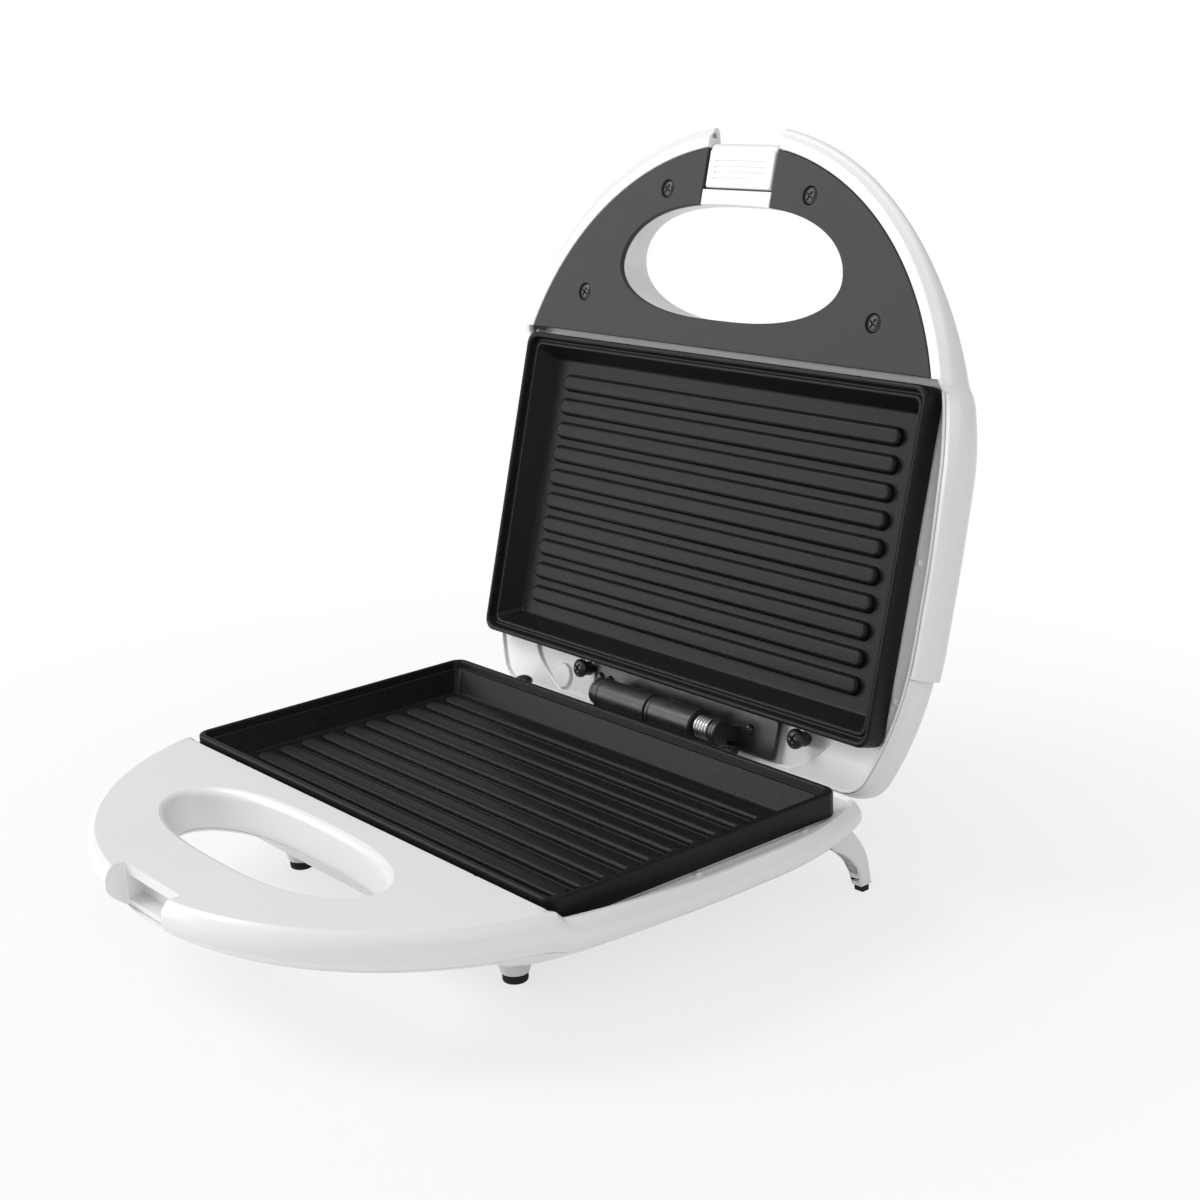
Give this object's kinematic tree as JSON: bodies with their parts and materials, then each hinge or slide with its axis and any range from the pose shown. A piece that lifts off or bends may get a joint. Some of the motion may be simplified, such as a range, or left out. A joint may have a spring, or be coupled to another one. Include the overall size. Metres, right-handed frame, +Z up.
{
  "type": "sandwich maker",
  "caption": "Countertop sandwich maker with hinged ribbed nonstick plates, white housings, oval finger openings in both handles and a swinging latch clip.",
  "frame": {"origin": "on the table top under the middle of the opened maker", "axes": "+X along the hinge to the right as seen from the handle, +Y from the handle to the hinge, +Z up"},
  "size_m": [0.244, 0.2858, 0.2642],
  "materials": {
    "white_plastic": "glossy",
    "dark_panel": "matte",
    "nonstick": "satin black nonstick coat with a fine texture",
    "aluminised_steel": "satin",
    "steel": "satin",
    "black_steel": "satin",
    "bakelite": "matte",
    "wire_sleeve": "matte",
    "black_plastic": "matte",
    "rubber": "matte",
    "red_lens": "glossy",
    "green_lens": "glossy",
    "lamp_glass": "glossy"
  },
  "bodies": {
    "base": {"base_housing": "white_plastic", "base_bottom": "white_plastic", "front_foot_right": "white_plastic", "front_foot_left": "white_plastic", "rear_leg_right": "white_plastic", "rear_leg_left": "white_plastic", "lower_plate": "nonstick", "lower_reflector": "aluminised_steel", "lower_heater": "steel", "hinge_pin": "steel", "hinge_spring": "steel", "thermal_fuse": "steel", "base_hinge_bracket": "black_steel", "base_frame_screw_1": "black_steel", "base_frame_screw_2": "black_steel", "bottom_screw_1": "black_steel", "bottom_screw_2": "black_steel", "bottom_screw_3": "black_steel", "bottom_screw_4": "black_steel", "thermostat": "bakelite", "terminal_block": "bakelite", "base_wire_1": "wire_sleeve", "base_wire_2": "wire_sleeve", "base_wire_3": "wire_sleeve", "cord_gland": "black_plastic", "front_foot_tip_right": "rubber", "front_foot_tip_left": "rubber", "rear_leg_pad_right": "rubber", "rear_leg_pad_left": "rubber"},
    "lid": {"lid_cover": "white_plastic", "lid_rear_cover": "white_plastic", "lid_inner_frame": "white_plastic", "lid_insert_panel": "dark_panel", "upper_plate": "nonstick", "upper_reflector": "aluminised_steel", "upper_heater": "steel", "lid_hinge_bracket": "black_steel", "latch_pin": "steel", "power_lamp_lens": "red_lens", "ready_lamp_lens": "green_lens", "power_lamp": "lamp_glass", "ready_lamp": "lamp_glass", "lid_wire_left": "wire_sleeve", "lid_wire_right": "wire_sleeve", "insert_screw_1": "black_steel", "insert_screw_2": "black_steel", "insert_screw_3": "black_steel", "insert_screw_4": "black_steel", "lid_frame_screw_1": "black_steel", "lid_frame_screw_2": "black_steel"},
    "latch": {"latch_clip": "white_plastic"}
  },
  "joints": [
    {"name": "lid_hinge", "type": "hinge", "parent": "base", "child": "lid", "pos_m": [0, 0.07957, 0.0484], "axis": [1, 0, 0], "range_deg": [0, 104.8]},
    {"name": "latch_pivot", "type": "hinge", "parent": "lid", "child": "latch", "pos_m": [0, 0.13936, 0.25591], "axis": [-1, 0, 0], "range_deg": [0, 95]}
  ]
}
